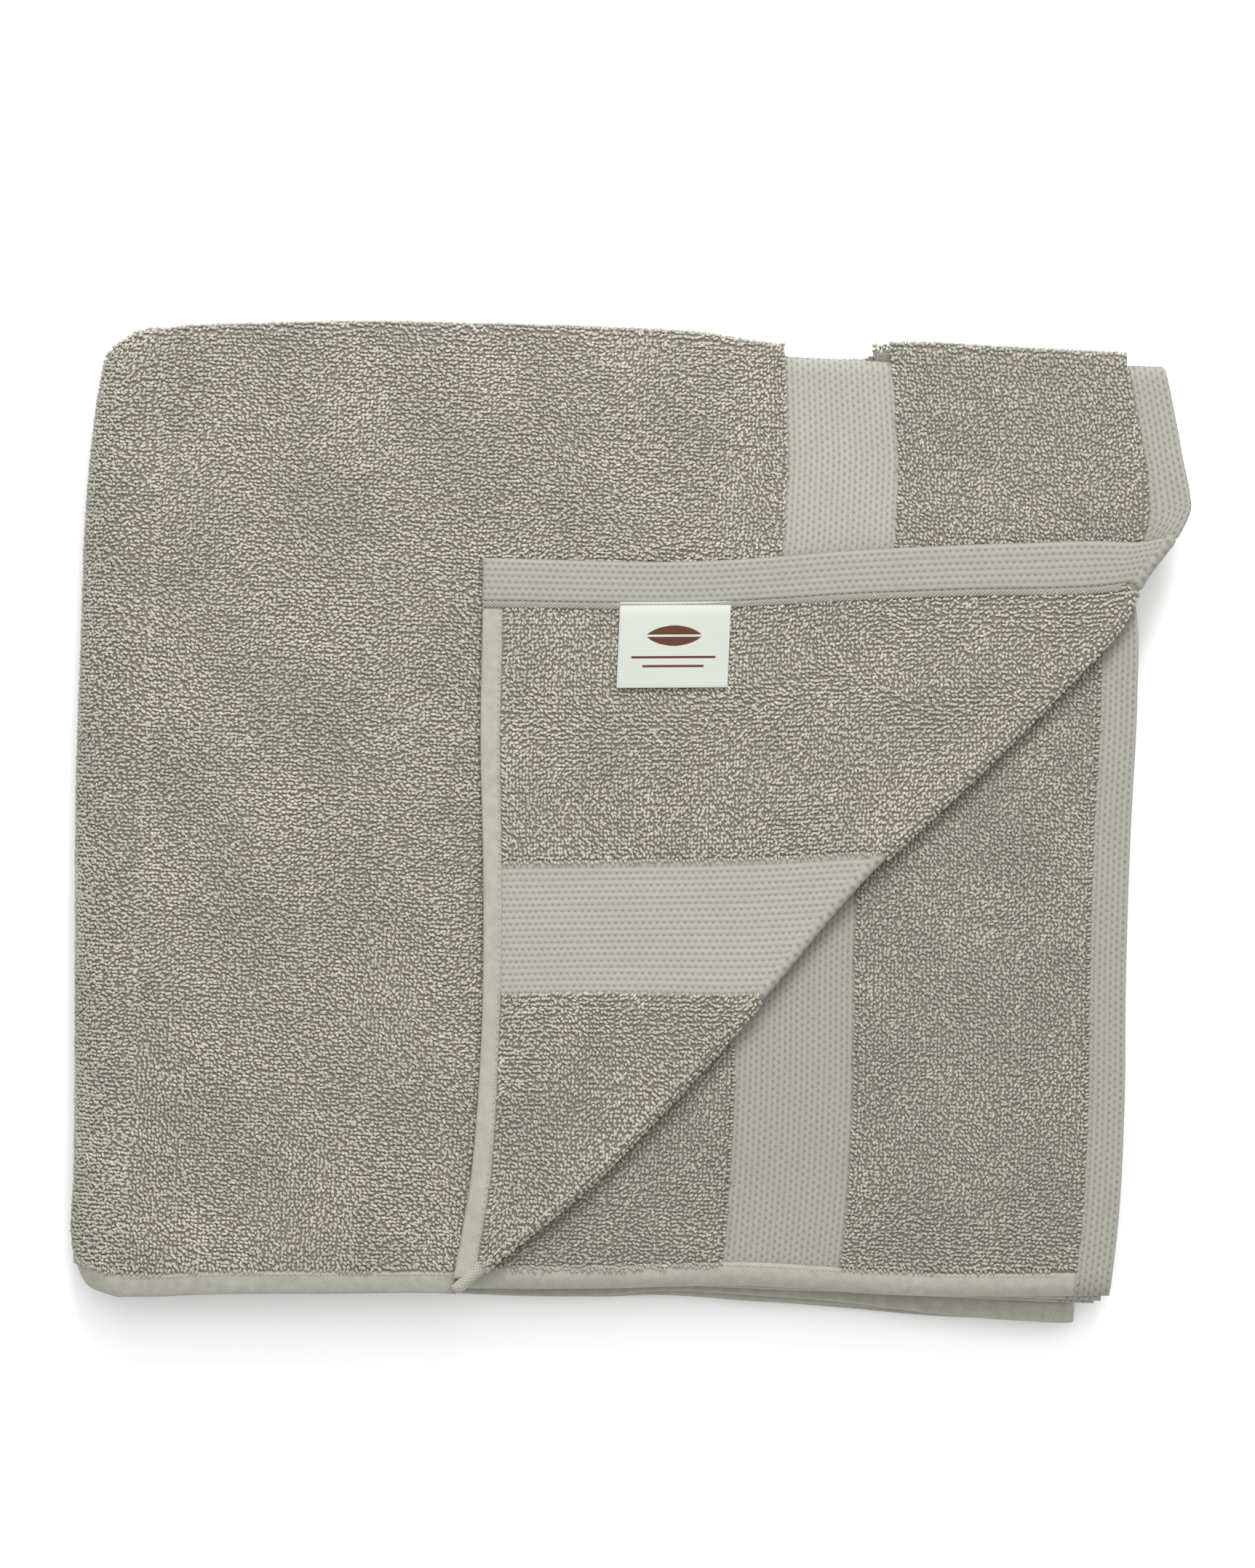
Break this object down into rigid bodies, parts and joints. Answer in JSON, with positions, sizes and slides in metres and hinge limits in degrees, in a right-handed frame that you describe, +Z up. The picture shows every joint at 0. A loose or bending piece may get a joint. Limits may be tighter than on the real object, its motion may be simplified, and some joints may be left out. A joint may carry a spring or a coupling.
{
  "type": "bath towel",
  "caption": "Plush terry bath towel folded into a flat pad, its top corner turned back, with flat dobby borders, sewn hems and a label.",
  "frame": {"origin": "middle of the folded towel's underside, where it lies on a shelf", "axes": "+X from the left fold towards the towel's ends, +Y towards the lengthwise fold at the back, +Z up"},
  "size_m": [0.4229, 0.384, 0.0431],
  "materials": {
    "terry": "matt looped cotton pile, grey beige",
    "band": "flat dobby weave, slight sheen",
    "hem": "woven hem, turned and lockstitched",
    "thread": "polyester sewing thread, soft sheen",
    "label": "satin woven label, off-white"
  },
  "bodies": {
    "lower_half": {"bottom_ply_terry": "terry", "bottom_ply_side_hem": "hem", "seventh_ply_terry": "terry", "seventh_ply_side_hem": "hem", "sixth_ply_terry": "terry", "sixth_ply_side_hem": "hem", "fifth_ply_terry": "terry", "fifth_ply_side_hem": "hem", "outer_right_fold_terry": "terry", "outer_right_fold_side_hem": "hem", "inner_right_fold_terry": "terry", "inner_right_fold_side_hem": "hem", "outer_left_fold_terry": "terry", "outer_left_fold_side_hem": "hem", "second_left_fold_terry": "terry", "second_left_fold_side_hem": "hem", "third_left_fold_terry": "terry", "third_left_fold_side_hem": "hem", "inner_left_fold_terry": "terry", "inner_left_fold_side_hem": "hem"},
    "upper_half": {"fourth_ply_terry": "terry", "fourth_ply_band": "band", "fourth_ply_end_strip": "terry", "fourth_ply_end_hem": "hem", "fourth_ply_side_hem": "hem", "third_ply_terry": "terry", "third_ply_band": "band", "third_ply_end_strip": "terry", "third_ply_end_hem": "hem", "third_ply_side_hem": "hem", "second_ply_terry": "terry", "second_ply_band": "band", "second_ply_end_strip": "terry", "second_ply_end_hem": "hem", "second_ply_side_hem": "hem", "top_ply_terry": "terry", "top_ply_band": "band", "top_ply_end_strip": "terry", "top_ply_end_hem": "hem", "top_ply_side_hem": "hem", "second_ply_end_seam": "thread", "second_ply_side_seam": "thread", "top_ply_end_seam": "thread", "top_ply_side_seam": "thread", "corner_fold_roll": "terry"},
    "corner_flap": {"corner_end_hem": "hem", "corner_end_strip": "terry", "corner_band": "band", "corner_terry": "terry", "corner_side_hem": "hem", "corner_end_seam": "thread", "corner_side_seam": "thread"},
    "label": {"label": "label"}
  },
  "joints": [
    {"name": "crosswise_fold", "type": "hinge", "parent": "lower_half", "child": "upper_half", "pos_m": [-0.1929, 0, 0.0186], "axis": [0, -1, 0], "range_deg": [0, 175], "deforming": ["outer_left_fold_terry", "outer_left_fold_side_hem", "second_left_fold_terry", "second_left_fold_side_hem", "third_left_fold_terry", "third_left_fold_side_hem", "inner_left_fold_terry", "inner_left_fold_side_hem"]},
    {"name": "corner_fold", "type": "hinge", "parent": "upper_half", "child": "corner_flap", "pos_m": [0.0755, -0.03725, 0.0374], "axis": [0.6601, 0.7511, 0], "range_deg": [0, 172], "deforming": ["corner_fold_roll"]},
    {"name": "label_edge", "type": "hinge", "parent": "corner_flap", "child": "label", "pos_m": [0.01272, 0.0873, 0.0427], "axis": [-0.9981, -0.0619, 0], "range_deg": [0, 150]}
  ]
}
